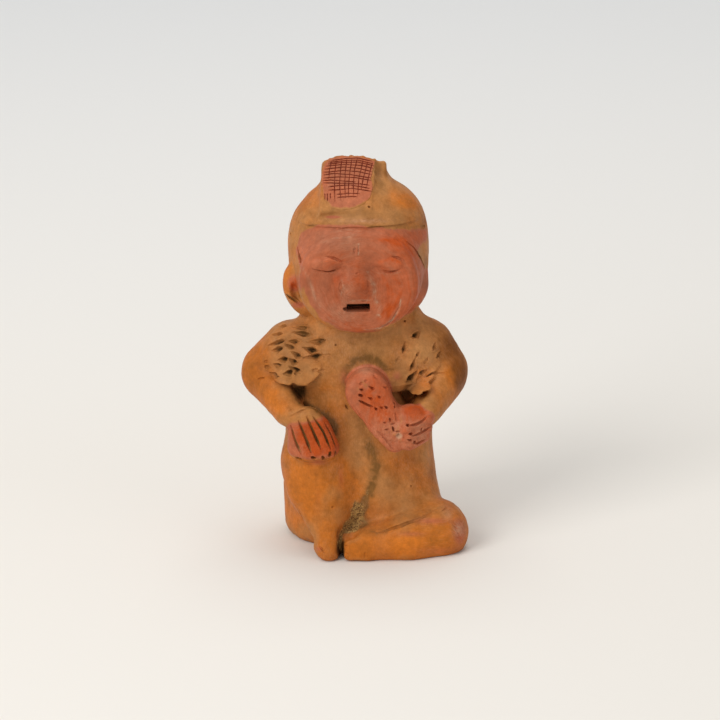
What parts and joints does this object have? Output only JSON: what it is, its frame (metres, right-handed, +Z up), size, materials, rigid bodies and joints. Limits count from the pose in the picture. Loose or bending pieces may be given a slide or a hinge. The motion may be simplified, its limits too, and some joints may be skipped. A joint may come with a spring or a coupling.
{
  "type": "seated clay figurine",
  "caption": "Hand-built terracotta figurine of a seated person with a hair tuft, one knee raised, one hand on it and the other holding a rattle.",
  "frame": {"origin": "centre of the bounding box at the flat underside", "axes": "+Z up to the hair tuft, the face looks along -Y, +X is to the right of someone who faces the figure"},
  "size_m": [0.0904, 0.0668, 0.1579],
  "materials": {
    "clay": "burnished terracotta"
  },
  "bodies": {
    "root": {"figure": "clay"}
  },
  "joints": []
}
